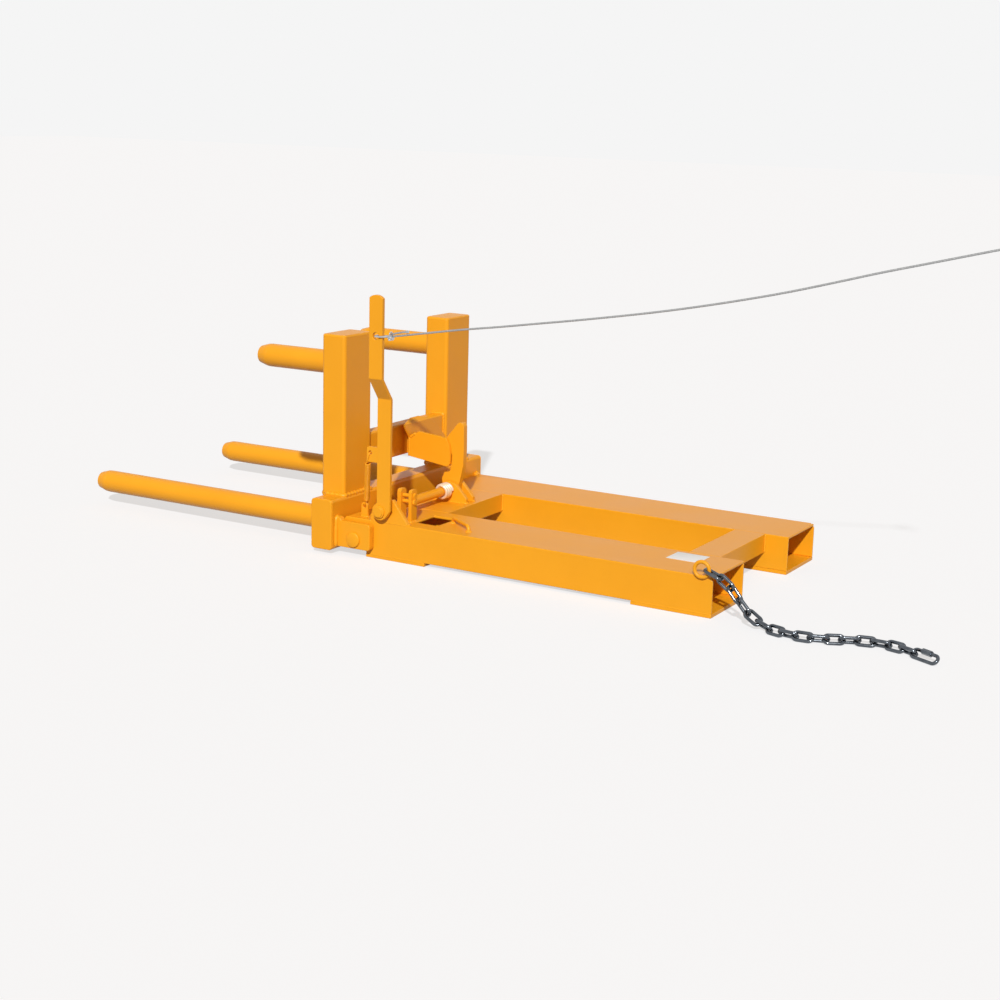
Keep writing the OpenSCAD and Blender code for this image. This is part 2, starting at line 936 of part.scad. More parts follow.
module catch_base() {
    half = cheek_y + cheek_t;
    lip = 4;
    top_z = cross_bar_z + cross_bar_h + lip;
    color(paint) {
        translate([cross_bar_x, 0, 0])
            rotate([90, 0, 90])
                linear_extrude(catch_base_t)
                    polygon([
                        [-half - 2, cross_bar_z], [152, cross_bar_z], [152, cross_bar_z + 22], [65, top_z],
                        [-43, top_z], [-43, top_z - 8], [-half - 2, top_z - 48]
                    ]);
        // The plate's top edge is folded back over the bar
        translate([0, 0, top_z - lip])
            linear_extrude(lip)
                polygon([
                    [cheek_x, -43], [cheek_x, 65], [cross_bar_x - 8, 65], [cross_bar_x - 16, 37], [cross_bar_x, -8]
                ]);
    }
}

cheek_x = cross_bar_x + catch_base_t;
cheek_end = catch_x + 30;

module cheek_outline() {
    low_r = 11;
    low_z = catch_z - 21;
    polygon([
        [cheek_x, catch_z - 7], [cheek_end - low_r - 4, low_z], [cheek_end, low_z + low_r + 2],
        [cheek_end, catch_z + 16], [cheek_end - 4, catch_z + 38], [cheek_end - 13, catch_z + 54],
        [cheek_end - 18, catch_z + 55], [cheek_x + 20, catch_z + 63], [cheek_x, catch_z + 65]
    ]);
    translate([cheek_end - low_r, low_z + low_r])
        circle(low_r);
}

module catch_cheeks() {
    color(paint)
        both_sides()
            plate_xz(-cheek_y - cheek_t, cheek_t)
                cheek_outline();
}

module catch_pin() {
    color(bare_steel)
        tube_y(catch_x, catch_z, catch_pin_d / 2, -cheek_y, cheek_y);
}

// Release lever and everything that turns with the latch shaft

module lever_bar() {
    half = lever_w / 2;
    bend_y = lever_set;
    foot_r = shaft_d / 2 + 10;
    start_z = shaft_z + 34;
    color(paint)
        difference() {
            union() {
                plate_xz(lever_y - lever_t, lever_t) {
                    translate([lever_x - half, start_z])
                        square([lever_w, bend_low - start_z]);
                    translate([shaft_x, shaft_z])
                        circle(foot_r);
                    polygon([
                        [shaft_x - foot_r, shaft_z], [lever_x - half, shaft_z + 24], [lever_x - half, start_z + 1],
                        [lever_x + half, start_z + 1], [lever_x + half, shaft_z + 5], [shaft_x + 18, shaft_z - 13],
                        [shaft_x, shaft_z - foot_r]
                    ]);
                }
                translate([lever_x - half, 0, 0])
                    rotate([90, 0, 90])
                        linear_extrude(lever_w)
                            polygon([
                                [lever_y, bend_low], [lever_y - bend_y, bend_high],
                                [lever_y - bend_y - lever_t, bend_high], [lever_y - lever_t, bend_low]
                            ]);
                plate_xz(top_y - lever_t, lever_t) {
                    translate([lever_x - half, bend_high])
                        square([lever_w, lever_top - bend_high - 10]);
                    translate([lever_x, lever_top - 10 - half * 1.05])
                        intersection() {
                            circle(half * 1.5);
                            translate([-half, 0])
                                square([lever_w, 2 * half]);
                        }
                }
            }
            plate_xz(top_y - lever_t - 1, lever_t + 2)
                translate([lever_x, rope_hole_z])
                    circle(d = 18);
            plate_xz(lever_y - lever_t - 1, lever_t + 2)
                translate([shaft_x, shaft_z])
                    circle(d = shaft_d);
        }
}

// Boss that keys the lever to its shaft
module lever_hub() {
    hub_len = lever_gap - 1;
    color(paint)
        plate_xz(lever_y, hub_len)
            difference() {
                translate([shaft_x, shaft_z])
                    circle(shaft_d / 2 + 9);
                translate([shaft_x, shaft_z])
                    circle(d = shaft_d);
            }
}

module lever_bolt() {
    head_y = lever_y - lever_t;
    color(paint) {
        tube_y(shaft_x, shaft_z, 16, head_y - 5, head_y);
        tube_y(shaft_x, shaft_z, 13, head_y - 8, head_y - 5);
    }
}

module latch_shaft() {
    color(paint)
        tube_y(shaft_x, shaft_z, shaft_d / 2, lever_y - lever_t, shaft_far_y);
}

// Flat hook: a tall back, a lead-in ramp, a nose whose underside is an arc about the shaft
module hook_outline() {
    nose_x_end = catch_x - 12;
    back_x = shaft_x + 37;
    tip_r = 11.5;
    difference() {
        union() {
            polygon([
                [shaft_x - hook_boss_r, shaft_z], [shaft_x + hook_boss_r, shaft_z], [shaft_x + hook_boss_r, shaft_z + 12],
                [shaft_x + 31.5, shaft_z + 40], [back_x, shaft_z + 68], [back_x + 1, shaft_z + 106],
                [back_x, shaft_z + 169], [back_x - tip_r, shaft_z + 169], [back_x - 20.9, shaft_z + 175.7],
                [nose_x_end + 21, catch_z + 50], [nose_x_end, catch_z + 30], [nose_x_end, catch_z + 14],
                [nose_x_end + 4, catch_z + 4], [shaft_x + 2, catch_z + 4], [shaft_x + 1, shaft_z + 69],
                [shaft_x - 2, shaft_z + 50], [shaft_x - 9, shaft_z + 43], [shaft_x - 21, shaft_z + 42.5],
                [shaft_x - 28, shaft_z + 25]
            ]);
            translate([back_x - tip_r, shaft_z + 169])
                circle(tip_r);
            translate([shaft_x, shaft_z])
                circle(hook_boss_r);
        }
        intersection() {
            translate([shaft_x, shaft_z])
                circle(nose_r_in);
            polygon([
                [nose_x_end - 10, catch_z - 5], [shaft_x + 1, catch_z - 5],
                [shaft_x + 2, catch_z + 10], [shaft_x - 2, catch_z + 14], [nose_x_end - 10, catch_z + 14]
            ]);
        }
        translate([shaft_x, shaft_z])
            circle(d = shaft_d);
    }
}

module catch_hook() {
    color(paint)
        plate_xz(-hook_half, hook_t)
            hook_outline();
}

// Thin washers between hook and lugs, and a collar that keeps the shaft in place
module shaft_collars() {
    collar_r = shaft_d / 2 + 6;
    color(paint)
        for (y = [[-hook_lug_y + 0.4, -hook_half], [hook_half, hook_lug_y - 0.4],
                  [hook_lug_y + lug_plate_t + 1, hook_lug_y + lug_plate_t + 10]])
            difference() {
                tube_y(shaft_x, shaft_z, collar_r, y[0], y[1]);
                tube_y(shaft_x, shaft_z, shaft_d / 2, y[0] - 1, y[1] + 1);
            }
}

module spring_tab() {
    edge = lever_x - lever_w / 2;
    left = tab_hole_x - 10;
    low = spring_top_z - 24;
    high = spring_top_z + 15;
    r = 6;
    color(paint)
        plate_xz(lever_y - lever_t + 1, lever_t - 2)
            difference() {
                union() {
                    translate([left + r, low])
                        square([edge - left - r, high - low]);
                    translate([left, low + r])
                        square([2 * r, high - low - 2 * r]);
                    for (z = [low + r, high - r])
                        translate([left + r, z])
                            circle(r);
                }
                translate([tab_hole_x, spring_top_z])
                    circle(d = tab_hole_d);
            }
}

// The rope's eye goes through the lever and round its edge
rope_eye_half = lever_t / 2 + rope_d / 2 + 1;

module rope_eye() {
    left = lever_x + 4;
    right = clip_x - rope_eye_half;
    color(bare_steel)
        translate([0, top_y - lever_t / 2, rope_hole_z]) {
            for (s = [-1, 1])
                translate([left, s * rope_eye_half, 0])
                    rotate([0, 90, 0])
                        cylinder(d = rope_d, h = right - left, $fn = 16);
            translate([left, 0, 0])
                rotate([0, 0, 90])
                    rotate_extrude(angle = 180, $fn = 32)
                        translate([rope_eye_half, 0])
                            circle(d = rope_d, $fn = 16);
            translate([right, 0, 0])
                rotate([0, 0, -90])
                    rotate_extrude(angle = 180, $fn = 32)
                        translate([rope_eye_half, 0])
                            circle(d = rope_d, $fn = 16);
        }
}

module rope_clip() {
    color(bare_steel)
        translate([clip_x + rope_d / 2, rope_y - 7, rope_hole_z - 6])
            cube([clip_len - rope_d / 2, 14, 16]);
}

near_sleeve();
far_sleeve();
near_straps();
far_straps();
front_cross_member();
rear_cross_member();
near_hinge_doubler();
far_hinge_doubler();
nose_plates();
near_shaft_lug();
hook_lugs();
stop_posts();
stop_bolts();
spring_anchor();
return_spring();
hook_spring();
guide_staple();
chain_ring();
safety_chain();
chain_end_hook();
pull_rope();
rope_end_loop();
hinge_beam();
beam_end_caps();
near_post();
far_post();
post_caps();
cross_bar();
near_lower_arm();
far_lower_arm();
near_upper_arm();
far_upper_arm();
arm_tips();
outer_ears();
inner_ears();
near_tilt_pin();
far_tilt_pin();
pin_washers();
pin_nuts();
stop_pads();
catch_base();
catch_cheeks();
catch_pin();
lever_bar();
lever_hub();
lever_bolt();
latch_shaft();
catch_hook();
shaft_collars();
spring_tab();
rope_eye();
rope_clip();
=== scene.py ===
import json
import random
from math import atan2, cos, pi, radians, sin

import bmesh
import bpy
from mathutils import Matrix, Vector


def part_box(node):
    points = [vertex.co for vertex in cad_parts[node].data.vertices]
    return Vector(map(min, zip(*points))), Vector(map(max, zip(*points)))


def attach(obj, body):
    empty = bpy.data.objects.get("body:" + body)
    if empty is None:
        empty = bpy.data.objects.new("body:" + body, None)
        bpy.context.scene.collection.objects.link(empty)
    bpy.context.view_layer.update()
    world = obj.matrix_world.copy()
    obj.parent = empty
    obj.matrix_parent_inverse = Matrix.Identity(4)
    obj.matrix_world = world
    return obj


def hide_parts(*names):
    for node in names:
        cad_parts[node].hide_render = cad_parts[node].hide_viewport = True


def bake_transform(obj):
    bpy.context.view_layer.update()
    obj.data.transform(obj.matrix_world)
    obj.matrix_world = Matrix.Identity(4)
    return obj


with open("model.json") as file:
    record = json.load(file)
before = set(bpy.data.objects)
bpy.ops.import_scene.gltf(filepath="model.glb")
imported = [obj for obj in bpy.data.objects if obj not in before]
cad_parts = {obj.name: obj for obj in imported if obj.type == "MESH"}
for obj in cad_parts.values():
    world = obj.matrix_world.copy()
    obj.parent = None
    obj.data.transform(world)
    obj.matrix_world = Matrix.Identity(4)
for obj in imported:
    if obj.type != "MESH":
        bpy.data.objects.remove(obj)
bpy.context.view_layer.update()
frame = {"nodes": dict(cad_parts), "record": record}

# The camera stands on the release lever's side, towards the sleeves' open ends, twice as high as the posts.
camera_place = (2.4782, -3.8880, 1.1337)
camera_heading, camera_dip, camera_roll = 30.09, 12.7678, 1.4971
camera_data = bpy.data.cameras.new("camera")
camera_data.sensor_width = 36
camera_data.lens = 63.30
camera_data.clip_end = 60
camera = bpy.data.objects.new("camera", camera_data)
bpy.context.scene.collection.objects.link(camera)
camera.matrix_world = (
    Matrix.Translation(camera_place)
    @ Matrix.Rotation(radians(camera_heading), 4, "Z")
    @ Matrix.Rotation(radians(90 - camera_dip), 4, "X")
    @ Matrix.Rotation(radians(camera_roll), 4, "Z")
)
bpy.context.scene.camera = camera

# Pull rope
# A galvanised wire rope, 5 mm thick, of six strands laid round a core.
# It is pulled taut from the lever to its end loop, so it hangs between them with little sag.


def linear(hex_colour):
    channels = [int(hex_colour[i : i + 2], 16) / 255 for i in (0, 2, 4)]
    return tuple(c / 12.92 if c <= 0.04045 else ((c + 0.055) / 1.055) ** 2.4 for c in channels) + (1.0,)


def put(tree, kind, inputs=None, **settings):
    # Adds a node: each input takes a value, or a link when it is given another node's output.
    node = tree.nodes.new(kind)
    for name, value in settings.items():
        setattr(node, name, value)
    for name, value in (inputs or {}).items():
        if isinstance(value, bpy.types.NodeSocket):
            tree.links.new(value, node.inputs[name])
        else:
            node.inputs[name].default_value = value
    return node


def new_material(name):
    material = bpy.data.materials.new(name)
    material.use_nodes = True
    tree = material.node_tree
    tree.nodes.clear()
    return material, tree


def spots_of(width_mm):
    # A noise texture's scale: how many spots of this width in millimetres fit into a metre.
    return round(1000 / width_mm)


def mottled_metal(name, dark, pale, spot_mm, detail, metallic, roughness):
    # A metal surface whose tone drifts between two colours, in spots of the given width.
    material, tree = new_material(name)
    place = put(tree, "ShaderNodeTexCoord")
    spots = put(tree, "ShaderNodeTexNoise", {
        "Vector": place.outputs["Object"], "Scale": spots_of(spot_mm), "Detail": detail,
    })
    tone = put(tree, "ShaderNodeValToRGB", {"Fac": spots.outputs["Fac"]})
    tone.color_ramp.elements[0].color = linear(dark)
    tone.color_ramp.elements[1].color = linear(pale)
    shader = put(tree, "ShaderNodeBsdfPrincipled", {
        "Base Color": tone.outputs["Color"], "Metallic": metallic, "Roughness": roughness,
    })
    put(tree, "ShaderNodeOutputMaterial", {"Surface": shader.outputs["BSDF"]})
    return material


# Dull zinc over drawn wire: a soft grey sheen with paler and darker spots.
galvanised = mottled_metal(
    "galvanised wire rope", "86888A", "C3C4C4", spot_mm=4.55, detail=3.0, metallic=0.8, roughness=0.5,
)

rope_d = 0.005
rope_y = -0.380
rope_step = 0.0035
rope_points = [
    (0.1371, 0.576), (0.230, 0.592), (0.330, 0.609), (0.430, 0.624), (0.530, 0.640), (0.630, 0.656),
    (0.730, 0.673), (0.830, 0.691), (0.930, 0.711), (1.030, 0.733), (1.130, 0.757), (1.230, 0.784),
    (1.330, 0.812), (1.430, 0.838), (1.530, 0.864), (1.600, 0.882),
]


def smooth_route(points, step):
    # A soft curve through every point, cut into stretches of about one step.
    knots = [points[0]] + list(points) + [points[-1]]
    route = []
    for i in range(1, len(knots) - 2):
        a, b, c, d = (Vector(p) for p in knots[i - 1 : i + 3])
        parts = max(2, round((c - b).length / step))
        for k in range(parts):
            t = k / parts
            route.append(0.5 * (
                2 * b + (c - a) * t + (2 * a - 5 * b + 4 * c - d) * t * t + (3 * b - a - 3 * c + d) * t**3
            ))
    route.append(Vector(points[-1]))
    return route


def laid_rope(name, route, width, strands=6, lay=0.040, groove=0.14):
    # One closed skin whose lobed outline turns once in each lay length, as the strands do.
    sides = strands * 4
    mesh = bmesh.new()
    rings = []
    gone = 0.0
    normal = None
    for i, point in enumerate(route):
        ahead = route[min(i + 1, len(route) - 1)] - route[max(i - 1, 0)]
        ahead.normalize()
        if normal is None:
            normal = ahead.cross(Vector((0, 1, 0))).normalized()
        normal = (normal - normal.dot(ahead) * ahead).normalized()
        other = ahead.cross(normal)
        if i:
            gone += (point - route[i - 1]).length
        turn = 2 * pi * gone / lay
        ring = []
        for k in range(sides):
            a = 2 * pi * k / sides
            r = width / 2 * (1 - groove + groove * abs(cos(strands * a / 2)))
            ring.append(mesh.verts.new(point + r * (cos(a + turn) * normal + sin(a + turn) * other)))
        rings.append(ring)
    for low_ring, high_ring in zip(rings, rings[1:]):
        for k in range(sides):
            after = (k + 1) % sides
            mesh.faces.new((low_ring[k], low_ring[after], high_ring[after], high_ring[k]))
    mesh.faces.new(list(reversed(rings[0])))
    mesh.faces.new(rings[-1])
    bmesh.ops.recalc_face_normals(mesh, faces=mesh.faces)
    data = bpy.data.meshes.new(name)
    mesh.to_mesh(data)
    mesh.free()
    data.shade_smooth()
    data.materials.append(galvanised)
    piece = bpy.data.objects.new(name, data)
    bpy.context.scene.collection.objects.link(piece)
    return piece


rope_route = smooth_route([(x, rope_y, z) for x, z in rope_points], rope_step)
rope = laid_rope("wire_rope", rope_route, rope_d)
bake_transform(rope)
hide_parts("pull_rope")

# The rope's short dead end leaves the clamp above the live rope and stops in a crimped sleeve.
dead_end_points = [(0.131, 0.5805), (0.146, 0.5845), (0.162, 0.588), (0.178, 0.5905)]
dead_end_route = smooth_route([(x, rope_y, z) for x, z in dead_end_points], rope_step)
dead_end = laid_rope("rope_dead_end", dead_end_route, rope_d)
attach(dead_end, "latch")

# The end loop is the frame's own piece, with the wire's finish.
end_loop = frame["nodes"]["rope_end_loop"].data
end_loop.materials.clear()
end_loop.materials.append(galvanised)

# Frame steel
# Folded sheet, flat bar and rectangular tube, cut, welded and sprayed with one coat of gloss orange enamel.
# Rolled and ground edges are soft, so most pieces get a small round along their sharp edges.


def orange_enamel():
    # Sprayed alkyd enamel: an even gloss with faint orange peel and slightly duller clouds.
    material, tree = new_material("orange sprayed enamel")
    place = put(tree, "ShaderNodeTexCoord")
    cloud = put(tree, "ShaderNodeTexNoise", {
        "Vector": place.outputs["Object"], "Scale": spots_of(167), "Detail": 5.0, "Roughness": 0.6,
    })
    tone = put(tree, "ShaderNodeValToRGB", {"Fac": cloud.outputs["Fac"]})
    thin, thick = 0.3, 0.7
    tone.color_ramp.elements[0].position = thin
    tone.color_ramp.elements[0].color = linear("EEA21A")
    tone.color_ramp.elements[1].position = thick
    tone.color_ramp.elements[1].color = linear("F3A71E")
    peel = put(tree, "ShaderNodeTexNoise", {
        "Vector": place.outputs["Object"], "Scale": spots_of(2.86), "Detail": 2.0,
    })
    bump = put(tree, "ShaderNodeBump", {"Height": peel.outputs["Fac"], "Strength": 0.1, "Distance": 0.0006})
    gloss = put(tree, "ShaderNodeMapRange", {
        "Value": cloud.outputs["Fac"], "From Min": thin, "From Max": thick, "To Min": 0.36, "To Max": 0.44,
    })
    shader = put(tree, "ShaderNodeBsdfPrincipled", {
        "Base Color": tone.outputs["Color"], "Roughness": gloss.outputs["Result"],
        "Normal": bump.outputs["Normal"], "IOR": 1.36,
    })
    put(tree, "ShaderNodeOutputMaterial", {"Surface": shader.outputs["BSDF"]})
    return material


enamel = orange_enamel()
body_of = {node: body for body, nodes in frame["record"]["behaviour"]["bodies"].items() for node in nodes}


def pick(piece):
    bpy.ops.object.select_all(action="DESELECT")
    piece.select_set(True)
    bpy.context.view_layer.objects.active = piece


def apply_modifier(piece, kind, **settings):
    pick(piece)
    modifier = piece.modifiers.new(kind.lower(), kind)
    for name, value in settings.items():
        setattr(modifier, name, value)
    bpy.ops.object.modifier_apply(modifier=modifier.name)


def merged_copy(node_name):
    # A copy of a piece of the frame, its loose triangles joined into whole faces.
    piece = bpy.data.objects.new(node_name + "_finished", frame["nodes"][node_name].data.copy())
    bpy.context.scene.collection.objects.link(piece)
    pick(piece)
    bpy.ops.object.mode_set(mode="EDIT")
    bpy.ops.mesh.select_all(action="SELECT")
    bpy.ops.mesh.remove_doubles(threshold=0.00001)
    bpy.ops.mesh.dissolve_limited(angle_limit=radians(0.8))
    bpy.ops.object.mode_set(mode="OBJECT")
    return piece


def settle(piece, body, finish):
    piece.data.materials.clear()
    piece.data.materials.append(finish)
    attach(piece, body)


def ease_edges(piece, round_r):
    # Rounds the sharp edges, or with no radius leaves them, and shades the faces between them flat.
    sharp = radians(35)
    if round_r:
        apply_modifier(
            piece, "BEVEL", width=round_r, segments=3, limit_method="ANGLE", angle_limit=sharp,
            use_clamp_overlap=False,
        )
    pick(piece)
    bpy.ops.object.shade_smooth_by_angle(angle=sharp)
    apply_modifier(piece, "WEIGHTED_NORMAL", keep_sharp=True, weight=60)


def finish_nodes(rounds, finish):
    for node_name, round_r in rounds.items():
        piece = merged_copy(node_name)
        ease_edges(piece, round_r)
        settle(piece, body_of[node_name], finish)
        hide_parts(node_name)


finish_nodes({
    "far_straps": 0.0012, "near_straps": 0.0012, "front_cross_member": 0.0015, "rear_cross_member": 0.0015,
    "near_hinge_doubler": 0.001, "far_hinge_doubler": 0.001, "nose_plates": 0.0008,
    "near_shaft_lug": 0.0015, "hook_lugs": 0.0012, "spring_anchor": 0.0012, "stop_posts": 0.0008,
    "stop_bolts": 0, "guide_staple": 0, "chain_ring": 0,
    "hinge_beam": 0.001, "beam_end_caps": 0.0025, "near_post": 0.001, "far_post": 0.001, "post_caps": 0,
    "cross_bar": 0.0015, "near_lower_arm": 0, "far_lower_arm": 0, "near_upper_arm": 0, "far_upper_arm": 0,
    "arm_tips": 0.001, "outer_ears": 0.0018, "inner_ears": 0.0012, "near_tilt_pin": 0.0012,
    "far_tilt_pin": 0.0012, "pin_washers": 0.0006, "stop_pads": 0.001,
    "lever_bar": 0.0014, "lever_hub": 0.0008, "lever_bolt": 0.001, "latch_shaft": 0.0008,
    "catch_hook": 0.0012, "shaft_collars": 0.0008, "spring_tab": 0.0009,
}, enamel)

# Fork sleeves
# Each is folded from 6 mm sheet into a flat tube that is open below between its straps.
# The nose has its upper corner taken off and rounded.


def edges_of(node_name):
    # Where a piece of the frame begins and ends along x, y and z, to a thousandth of a millimetre.
    return [(round(start, 6), round(end, 6)) for start, end in zip(*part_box(node_name))]


(nose_x, _), (sleeve_out, sleeve_in), (sleeve_low, sleeve_top) = edges_of("near_sleeve")
nose_corner_r = 0.012

for node_name in ("near_sleeve", "far_sleeve"):
    sleeve = merged_copy(node_name)
    centre = Vector((nose_x + nose_corner_r, 0, sleeve_top - nose_corner_r))
    for angle in (157.5, 135, 112.5):
        outward = Vector((cos(radians(angle)), 0, sin(radians(angle))))
        pick(sleeve)
        bpy.ops.object.mode_set(mode="EDIT")
        bpy.ops.mesh.select_all(action="SELECT")
        bpy.ops.mesh.bisect(
            plane_co=centre + nose_corner_r * outward, plane_no=outward, use_fill=True, clear_outer=True,
        )
        bpy.ops.object.mode_set(mode="OBJECT")
    ease_edges(sleeve, 0.002)
    settle(sleeve, "fork_frame", enamel)
    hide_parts(node_name)

# Catch plate
# A plate of 5 mm sheet cut to a slope on its far side, with its top edge bent back into a lip.
# It stands off the cross bar on a web, and the two cheeks that carry the catch pin are welded to its face.

(bar_back_x, bar_face_x), _, (bar_low_z, bar_top_z) = edges_of("cross_bar")
(_, plate_front_x), (plate_near_y, _), (plate_foot_z, plate_top_z) = edges_of("catch_base")
plate_far_y = 0.160
plate_t = 0.005
slope_y, slope_z = 0.087, 0.232
notch_y, notch_low_z, notch_high_z = -0.020, 0.253, 0.283
plate_corners = [
    (notch_y, plate_foot_z), (plate_far_y, plate_foot_z), (plate_far_y, slope_z), (slope_y, plate_top_z),
    (plate_near_y, plate_top_z), (plate_near_y, notch_high_z), (notch_y, notch_low_z),
]


def cut_plate(name, corners, front_x, depth):
    # A flat blank with a corner at each given place, drawn out backwards to its thickness.
    bpy.ops.object.select_all(action="DESELECT")
    bpy.ops.mesh.primitive_circle_add(vertices=len(corners), fill_type="NGON")
    piece = bpy.context.active_object
    piece.name = name
    for vertex, (y, z) in zip(piece.data.vertices, corners):
        vertex.co = (front_x, y, z)
    bpy.ops.object.mode_set(mode="EDIT")
    bpy.ops.mesh.select_all(action="SELECT")
    bpy.ops.mesh.extrude_region_move(TRANSFORM_OT_translate={"value": (-depth, 0, 0)})
    bpy.ops.mesh.select_all(action="SELECT")
    bpy.ops.mesh.normals_make_consistent(inside=False)
    bpy.ops.object.mode_set(mode="OBJECT")
    return piece


catch_plate = cut_plate("catch_plate", plate_corners, plate_front_x, plate_t)
ease_edges(catch_plate, 0.0012)
settle(catch_plate, "tilt_frame", enamel)
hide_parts("catch_base")

# The lip leans back at 45 degrees, and both its ends are sloped.
bite = 0.0005
lip_foot_z = plate_top_z - bite
lip_crest_z = lip_foot_z + 0.011
lip_corners = [(plate_near_y, lip_foot_z), (slope_y, lip_foot_z), (0.044, lip_crest_z), (0.004, lip_crest_z)]
catch_lip = cut_plate("catch_plate_lip", lip_corners, plate_front_x, plate_t)
for vertex in catch_lip.data.vertices:
    vertex.co.x -= max(0.0, vertex.co.z - lip_foot_z)
ease_edges(catch_lip, 0.0008)
settle(catch_lip, "tilt_frame", enamel)

# The web bites a little into both the plate and the bar, as a welded piece does.
web_near_y, web_far_y, web_foot_z, web_top_z = 0.005, 0.060, 0.206, 0.2865
plate_back_x = plate_front_x - plate_t
plate_web = cut_plate(
    "catch_plate_web",
    [(web_near_y, web_foot_z), (web_far_y, web_foot_z), (web_far_y, web_top_z), (web_near_y, web_top_z)],
    plate_back_x + bite, plate_back_x - bar_face_x + 2 * bite,
)
ease_edges(plate_web, 0.001)
settle(plate_web, "tilt_frame", enamel)

# Catch cheeks
# Two flame cut plates that hold the catch pin between them, welded to the catch plate.
# Each has its upper corner at the plate cut off, and the far one is a little lower.


def trim(piece, here, point, outward):
    # Saws off what lies outside a plane, on the part of a piece that the test picks by its corners.
    for vertex in piece.data.vertices:
        vertex.select = here(vertex.co)
    for edge in piece.data.edges:
        edge.select = all(piece.data.vertices[k].select for k in edge.vertices)
    for face in piece.data.polygons:
        face.select = all(piece.data.vertices[k].select for k in face.vertices)
    pick(piece)
    bpy.ops.object.mode_set(mode="EDIT")
    bpy.ops.mesh.bisect(plane_co=point, plane_no=outward, use_fill=True, clear_outer=True)
    bpy.ops.object.mode_set(mode="OBJECT")


near_cut_z, far_cut_z, far_top_z = 0.253, 0.247, 0.2615
corner_slope, top_slope = (-0.58, 0, 0.81), (0.07, 0, 1)
cheeks = merged_copy("catch_cheeks")
trim(cheeks, lambda corner: corner.y < 0, (plate_front_x, 0, near_cut_z), corner_slope)
trim(cheeks, lambda corner: corner.y > 0, (plate_front_x, 0, far_cut_z), corner_slope)
trim(cheeks, lambda corner: corner.y > 0, (0.0, 0, far_top_z), top_slope)
ease_edges(cheeks, 0.001)
settle(cheeks, "tilt_frame", enamel)
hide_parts("catch_cheeks")

# Weld seams
# Each joint is arc welded before painting: a bead of overlapping ripples, sunk halfway into both pieces.
# The ripples are long and high where a thick bead is laid in one slow pass, as at the posts' feet.

weld_dice = random.Random(7)


def swept(name, lines, radius, smoothness):
    # Round bars along lines of points, where each point has a place and its share of the radius.
    curve = bpy.data.curves.new(name, "CURVE")
    curve.dimensions = "3D"
    curve.bevel_depth = radius
    curve.bevel_resolution = smoothness
    curve.use_fill_caps = True
    for line in lines:
        spline = curve.splines.new("POLY")
        spline.points.add(len(line) - 1)
        for point, (place, share) in zip(spline.points, line):
            point.co = (*place, 1)
            point.radius = share
    piece = bpy.data.objects.new(name, curve)
    bpy.context.scene.collection.objects.link(piece)
    pick(piece)
    bpy.ops.object.convert(target="MESH")
    bpy.ops.object.shade_smooth()
    return piece


def weld_bead(name, body, runs, size, pitch=0.008, uneven=0.16):
    ripple = (1 - uneven, 1.0, 1 + uneven / 2, 1.0)
    lines = []
    for run in runs:
        walk = []
        for start, end in zip(run, run[1:]):
            start, end = Vector(start), Vector(end)
            parts = max(1, round((end - start).length / pitch)) * len(ripple)
            walk += [start.lerp(end, k / parts) for k in range(parts)]
        walk.append(Vector(run[-1]))
        line = []
        for k, place in enumerate(walk):
            wobble = 1 + 0.07 * weld_dice.uniform(-1, 1)
            ending = 0.6 if k in (0, len(walk) - 1) else 1
            line.append((place, ripple[k % len(ripple)] * wobble * ending))
        lines.append(line)
    settle(swept(name, lines, size, 2), body, enamel)


def both_sides(*runs):
    return list(runs) + [[(x, -y, z) for x, y, z in run] for run in runs]


def ring_run(centre, radius, axis, steps=36):
    # A closed round of points about an axis, "X" or "Z".
    run = []
    for k in range(steps + 1):
        a, b = radius * cos(2 * pi * k / steps), radius * sin(2 * pi * k / steps)
        offset = {"X": (0, a, b), "Z": (a, b, 0)}[axis]
        run.append(tuple(c + o for c, o in zip(centre, offset)))
    return run


(post_front, post_back), (post_out, post_in), _ = edges_of("near_post")
(beam_front, beam_back), _, (_, beam_top) = edges_of("hinge_beam")
lap = 0.002
weld_bead("post_foot_welds", "tilt_frame", both_sides(
    [(beam_front - lap, post_out, beam_top), (post_back, post_out, beam_top), (post_back, post_in, beam_top),
     (beam_front - lap, post_in, beam_top), (beam_front, post_in, beam_top - lap),
     (beam_front, post_out, beam_top - lap)],
), 0.0062, pitch=0.0135, uneven=0.26)
fillet_x, fillet_z = post_front + 0.006, beam_top - 0.001
weld_bead("post_front_fillets", "tilt_frame", both_sides(
    [(fillet_x, post_out + 0.002, fillet_z), (fillet_x, post_in - 0.002, fillet_z)],
), 0.0085, pitch=0.014, uneven=0.08)
weld_bead("cross_bar_welds", "tilt_frame", both_sides(
    [(bar_face_x, post_in, bar_low_z), (bar_face_x, post_in, bar_top_z), (bar_back_x, post_in, bar_top_z),
     (bar_back_x, post_in, bar_low_z), (bar_face_x, post_in, bar_low_z)],
), 0.0040)
arm_r = 0.030
lower_arm, upper_arm = (-0.272, 0.069), (-0.230, 0.470)
weld_bead("arm_root_welds", "tilt_frame", both_sides(
    ring_run((beam_front, *lower_arm), arm_r, "X"), ring_run((post_front, *upper_arm), arm_r, "X"),
), 0.0045, pitch=0.0052)
ear_seam_x, ear_seam_y = beam_back - 0.001, -0.3455
weld_bead("ear_root_welds", "tilt_frame", both_sides(
    [(ear_seam_x, ear_seam_y, 0.020), (ear_seam_x, ear_seam_y, 0.055), (ear_seam_x, -0.344, 0.093),
     (beam_back + 0.001, -0.336, 0.095)],
), 0.0072, pitch=0.018, uneven=0.05)
weld_bead("ear_inner_welds", "tilt_frame", both_sides(
    [(beam_back, -0.3265, 0.023), (beam_back, -0.3265, 0.088)],
), 0.0022)

